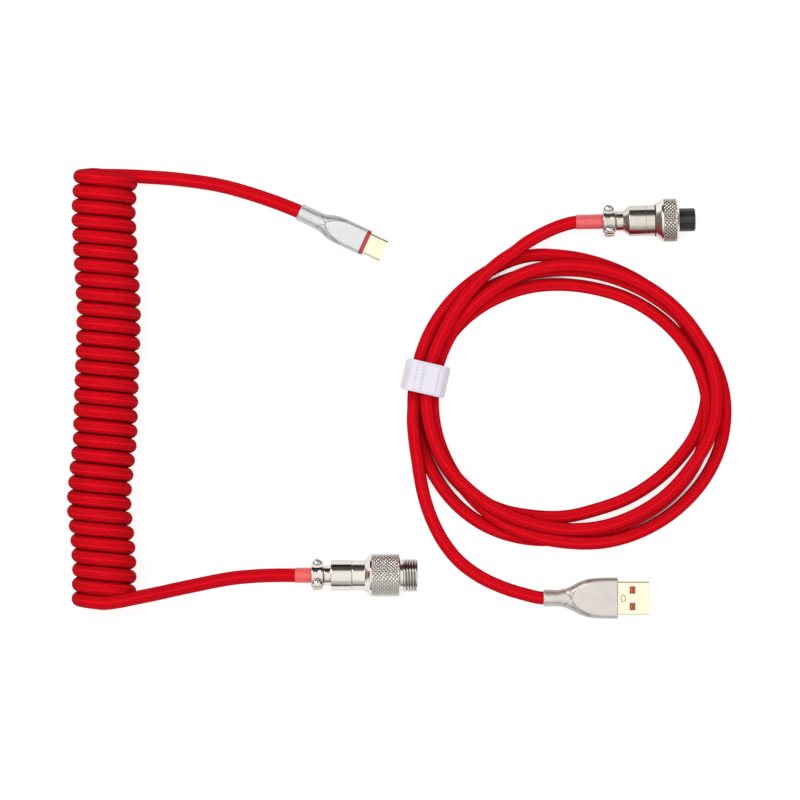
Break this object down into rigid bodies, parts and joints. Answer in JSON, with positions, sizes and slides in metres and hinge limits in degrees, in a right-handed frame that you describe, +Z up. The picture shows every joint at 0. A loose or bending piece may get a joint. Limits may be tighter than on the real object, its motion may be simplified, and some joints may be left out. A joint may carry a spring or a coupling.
{
  "type": "coiled keyboard cable set",
  "caption": "Two-piece braided keyboard cable: a coiled cord with a reversible plug and a threaded socket, and a looped cord with a flat plug and a coupling-nut plug.",
  "frame": {"origin": "on the surface that the set lies on, under the middle of its bounding box", "axes": "+Z up from the surface; +X towards the mating ends of the flat plug, the coupling-nut plug and the threaded socket; +Y along the coil, away from the socket"},
  "size_m": [0.2407, 0.1638, 0.0235],
  "materials": {
    "coiled_braid": "tight woven braid",
    "looped_braid": "tight woven braid",
    "grip": "silver satin lacquer",
    "collar": "smooth",
    "inner_mould": "as moulded",
    "board": "solder mask",
    "wire": "smooth insulation",
    "gold": "gold plated, bright",
    "tongue_plastic": "as moulded",
    "heat_shrink": "clear red sleeve, wrinkled",
    "polished_nickel": "polished",
    "satin_nickel": "satin",
    "black_plastic": "as moulded",
    "tie_fabric": "white hook and loop"
  },
  "bodies": {
    "root": {"usb_c_lead": "coiled_braid", "coil": "coiled_braid", "usb_c_boot": "grip", "usb_c_inner_mould": "inner_mould", "usb_c_board": "board", "usb_c_wires": "wire", "usb_c_collar": "collar", "usb_c_shell": "gold", "usb_c_insert": "tongue_plastic", "usb_c_contacts": "gold"},
    "socket_end": {"socket_lead": "coiled_braid", "socket_heat_shrink": "heat_shrink", "socket_backshell": "polished_nickel", "socket_clamp_saddle": "polished_nickel", "socket_clamp_screws": "polished_nickel", "socket_wires": "wire", "socket_body": "polished_nickel", "socket_insulator": "black_plastic", "socket_pins": "gold"},
    "straight_cable": {"usb_a_lead": "looped_braid", "cable_ring": "looped_braid", "plug_lead": "looped_braid", "strap_loop": "tie_fabric", "usb_a_boot": "grip", "usb_a_inner_mould": "inner_mould", "usb_a_wires": "wire", "usb_a_shell": "gold", "usb_a_tongue": "tongue_plastic", "usb_a_contacts": "gold", "plug_heat_shrink": "heat_shrink", "plug_backshell": "satin_nickel", "plug_clamp_saddle": "satin_nickel", "plug_clamp_screws": "satin_nickel", "plug_wires": "wire", "plug_front_shell": "satin_nickel", "plug_insert": "black_plastic", "plug_contacts": "gold"},
    "nut_carriage": {"nut_slip_ring": "satin_nickel"},
    "coupling_nut": {"coupling_nut": "satin_nickel"},
    "strap_tail": {"strap_tail": "tie_fabric"}
  },
  "joints": [
    {"name": "coil_stretch", "type": "slide", "parent": "root", "child": "socket_end", "axis": [0, -1, 0], "range_m": [0, 0.3], "stiffness_N_per_m": 15, "deforming": ["coil"]},
    {"name": "cords_apart", "type": "slide", "parent": "root", "child": "straight_cable", "axis": [1, 0, 0], "range_m": [0, 0.1]},
    {"name": "nut_travel", "type": "slide", "parent": "straight_cable", "child": "nut_carriage", "axis": [0.9998, 0.0209, 0], "range_m": [0, 0.003]},
    {"name": "nut_turn", "type": "hinge", "parent": "nut_carriage", "child": "coupling_nut", "pos_m": [0.09724, 0.06274, 0.0077], "axis": [0.9998, 0.0209, 0], "continuous": true},
    {"name": "tie_peel", "type": "hinge", "parent": "straight_cable", "child": "strap_tail", "pos_m": [0.0055, 0.00626, 0.0171], "axis": [-0.225, -0.9744, 0], "range_deg": [0, 120]}
  ]
}
